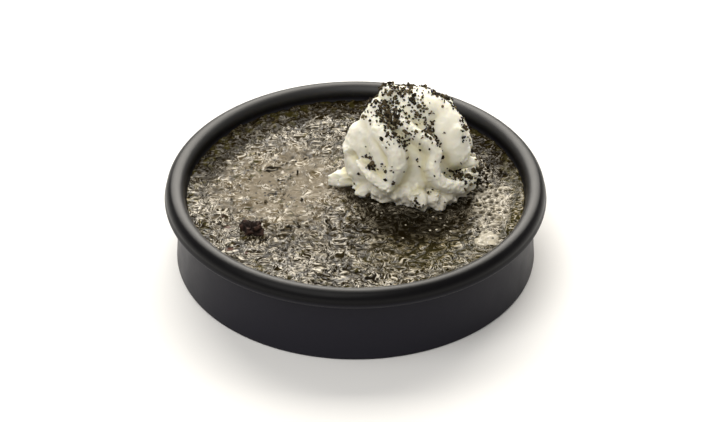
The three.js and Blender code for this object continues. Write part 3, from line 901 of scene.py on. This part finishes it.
def crumb_material(name, dark, light):
    """Dry cookie crumb: near black to brown from grain to grain, with a rough, pitted face."""
    finish, tree, shader = material(name)
    height, mottle = grain(tree, fine=3600.0, coarse=1500.0)
    colour = blend_colour(tree, mask(tree, "shade"), dark, light)
    colour = blend_colour(tree, ramp(tree, mottle, 0, 1, 0.0, 0.35), colour, dark)
    feed(tree, shader.inputs["Base Color"], colour)
    feed(tree, shader.inputs["Roughness"], ramp(tree, mottle, 0, 1, 0.6, 0.85))
    feed(tree, shader.inputs["Normal"], bump(tree, height, depth=0.1 * MM, strength=0.6))
    shader.inputs["IOR"].default_value = CRUMB_IOR
    return finish


def crumb_places(surface, count, seed):
    """Places on the cream and the surface's normals there. Each cell of the surface is drawn with a chance of
    its area times how thickly it is strewn; the back is strewn by height alone."""
    pick = np.random.default_rng(seed)
    across = np.roll(surface, -1, axis=1) - surface
    up = np.gradient(surface, axis=0)
    normal = np.cross(across, up)
    area = np.linalg.norm(normal, axis=-1)
    normal = normal / np.maximum(area, 1e-9)[..., None]
    x, y, z = np.moveaxis(surface, -1, 0)
    slant = SLANT_Y * y + SLANT_Z * z
    thick = np.full(x.shape, CRUMB_THIN)
    for middle, height, half_x, half_s, weight in CRUMB_PATCHES:
        thick += weight * np.exp(-((x - middle) / half_x) ** 2 - ((slant - height) / half_s) ** 2)
    back = 1.8 * smooth_step(z, 22, 29) + 0.25 * smooth_step(z, 8, 20) + CRUMB_THIN
    front = normal @ np.array([0, -SLANT_Z, SLANT_Y]) > 0.02
    chance = np.where(front, thick, back) * area * np.clip(normal[..., 2] + 0.75, 0.05, 1.3)
    chosen = pick.choice(chance.size, count, p=chance.ravel() / chance.sum())
    slide = pick.uniform(-0.5, 0.5, (count, 1)) * across.reshape(-1, 3)[chosen]
    slide += pick.uniform(-0.5, 0.5, (count, 1)) * up.reshape(-1, 3)[chosen]
    return surface.reshape(-1, 3)[chosen] + slide, normal.reshape(-1, 3)[chosen]


crumb_spots, crumb_normals = crumb_places(cream_points, CRUMB_COUNT, 21)
crumb_sizes = random_sizes(0.77, 0.36, smallest=0.35, largest=1.7, count=CRUMB_COUNT, seed=22) * MM
crumbs = strewn("cookie_crumbs_on_cream", crumb_spots * MM + cream_place, crumb_normals, crumb_sizes, 23)
crumb_finish = crumb_material("cookie_crumb", CRUMB_DARK, CRUMB_LIGHT)
crumbs.data.materials.append(crumb_finish)
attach(crumbs, "root")


# The crumbs on the custard. The same crushed cookie, fallen beside the cream on its right, at its front,
# and here and there on the skin. They are one joined mesh, set on the skin.
# Spills in mm: x and y of the middle, spread along x and along y, and how many grains are drawn.
SPILLS = (
    (41, 13, 2.6, 3.6, 34), (39, 7, 2.0, 2.6, 26), (44, 22, 3.0, 6.0, 16), (37, -3, 2.0, 3.0, 12),
    (20, -7.2, 1.6, 0.8, 12), (33, -12, 2.4, 2.6, 12), (36, -19, 2.6, 2.2, 9), (-19.5, -17, 1.2, 0.7, 9),
    (-40.8, -12, 0.6, 0.6, 4), (-18.8, 12, 0.5, 0.6, 3), (-30.5, 22.7, 0.7, 0.5, 4), (0, 0, 26, 26, 36),
    (-28, 44, 6, 2.4, 12), (2, 47.5, 9, 1.6, 16), (-30, -17, 2.4, 2.2, 10),
)
WALL_MARGIN = 1.5 * MM
CREAM_MARGIN = 17 * MM


def fallen_places(seed):
    """Places strewn round each spill's middle with a bell's spread, kept on the custard and off the cream."""
    pick = np.random.default_rng(seed)
    spills = [pick.normal((x, y), (sx, sy), (count, 2)) for x, y, sx, sy, count in SPILLS]
    spread = np.concatenate(spills) * MM
    inside = np.hypot(spread[:, 0], spread[:, 1]) < CUSTARD_RADIUS - WALL_MARGIN
    clear = np.hypot(spread[:, 0] - CREAM_X, spread[:, 1] - CREAM_Y) > CREAM_MARGIN
    return spread[inside & clear]


fallen = fallen_places(41)
fallen_height, _ = crust(fallen[:, 0], fallen[:, 1])
fallen_spots = np.column_stack([fallen, fallen_height + CUSTARD_LEVEL])
fallen_sizes = random_sizes(0.8, 0.35, smallest=0.4, largest=1.6, count=len(fallen), seed=42) * MM
upright = np.tile((0.0, 0.0, 1.0), (len(fallen), 1))
fallen_crumbs = strewn("cookie_crumbs_on_custard", fallen_spots, upright, fallen_sizes, 43)
fallen_crumbs.data.materials.append(crumb_finish)
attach(fallen_crumbs, "root")


# The cookie lump. A clot of the same crumb about 8 mm long at the front left, moist and dark, lying on the
# skin. Its four balls are joined softly and its surface is broken up by noise.
cookie_low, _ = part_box("cookie_lump")
COOKIE_X, COOKIE_Y = -32 * MM, -20 * MM
# The balls in mm about the middle of the foot: x, y, z and radius.
COOKIE = ((-1.7, 0.9, 1.0, 2.0), (0.9, -0.3, 1.1, 2.4), (-0.6, -0.9, 0.6, 2.0), (2.2, -0.9, 0.5, 1.6))
COOKIE_BLEND = 0.4
COOKIE_STEPS = (216, 80)
COOKIE_REACH_MM = 7.0
COOKIE_DARK = (0.017, 0.010, 0.008)
COOKIE_BROWN = (0.06, 0.032, 0.024)


def cookie_distance(points):
    """Distance to the four balls joined softly."""
    distance = None
    for ball in COOKIE:
        near = ball_distance(points, ball)
        distance = near if distance is None else soft_union(distance, near, COOKIE_BLEND)
    return distance


cookie_rays = dome_rays(*COOKIE_STEPS)
cookie_start = np.full(COOKIE_STEPS[::-1], COOKIE_REACH_MM, np.float32)
cookie_reach = dome_reach(cookie_distance, cookie_rays, cookie_start, 24)
cookie_points = cookie_rays * cookie_reach[..., None]
cookie_reach = cookie_reach + 0.05 + 0.55 * value_noise(cookie_points, 1.2, 51)
cookie_reach = cookie_reach + 0.3 * value_noise(cookie_points, 0.55, 52)
cookie_reach = cookie_reach - 0.7 * np.abs(value_noise(cookie_points, 0.8, 53))
cookie_reach = cookie_reach + 0.12 * value_noise(cookie_points, 0.28, 54)
cookie_points = cookie_rays * cookie_reach[..., None]
cookie = dome_piece("cookie_clot", cookie_points, np.array([COOKIE_X, COOKIE_Y, cookie_low.z]))
paint(cookie, "shade", smooth_step(value_noise(cookie_points, 1.1, 51), -0.1, 0.6))
cookie.data.materials.append(crumb_material("moist_cookie", COOKIE_DARK, COOKIE_BROWN))
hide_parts("cookie_lump")
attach(cookie, "root")


# The lights, the table and the camera. A wide soft light behind and above, a weaker one at the front left,
# and pale surroundings; the camera looks down on the dish from the front.
CAMERA_DISTANCE = 1.1
CAMERA_ELEVATION = math.radians(35.35)
CAMERA_TARGET = Vector((1.41 * MM, 0, 15.56 * MM))
CAMERA_LENS = 174.3
LIGHT_TARGET = (0, 0, 20 * MM)
TABLE_HALF = 3.0


def aimed(thing, position, target):
    """Puts a light or the camera at a place, looking at a target."""
    thing.location = position
    thing.rotation_euler = (Vector(target) - Vector(position)).to_track_quat("-Z", "Y").to_euler()
    bpy.context.scene.collection.objects.link(thing)
    return thing


def soft_light(name, position, width, height, power, colour):
    """A rectangular studio light aimed at the dish."""
    lamp = bpy.data.lights.new(name, "AREA")
    lamp.shape = "RECTANGLE"
    lamp.size, lamp.size_y = width, height
    lamp.energy = power
    lamp.color = colour
    return aimed(bpy.data.objects.new(name, lamp), position, LIGHT_TARGET)


soft_light("back_softbox", (0.0, 0.92, 0.80), width=1.5, height=1.0, power=28, colour=(1.0, 0.955, 0.875))
soft_light("front_fill", (-0.5, -0.7, 1.3), width=1.4, height=1.4, power=17, colour=(1.0, 0.98, 0.94))
world = bpy.data.worlds.new("studio")
world.use_nodes = True
world.node_tree.nodes["Background"].inputs["Color"].default_value = (1.0, 0.97, 0.925, 1)
world.node_tree.nodes["Background"].inputs["Strength"].default_value = 0.3
bpy.context.scene.world = world
bpy.context.scene.view_settings.view_transform = "Standard"

corners = np.array([(-1, -1, 0), (1, -1, 0), (1, 1, 0), (-1, 1, 0)]) * TABLE_HALF
table = mesh_object("table", corners, [np.array([[0, 1, 2, 3]])])
table_finish, _, table_shader = material("pale_table")
table_shader.inputs["Base Color"].default_value = (0.85, 0.85, 0.85, 1)
table_shader.inputs["Roughness"].default_value = 0.8
table.data.materials.append(table_finish)

lens = bpy.data.cameras.new("camera")
lens.lens = CAMERA_LENS
lens.clip_end = 20
camera_side = Vector((0, -math.cos(CAMERA_ELEVATION), math.sin(CAMERA_ELEVATION)))
camera_place = CAMERA_TARGET + CAMERA_DISTANCE * camera_side
bpy.context.scene.camera = aimed(bpy.data.objects.new("camera", lens), camera_place, CAMERA_TARGET)
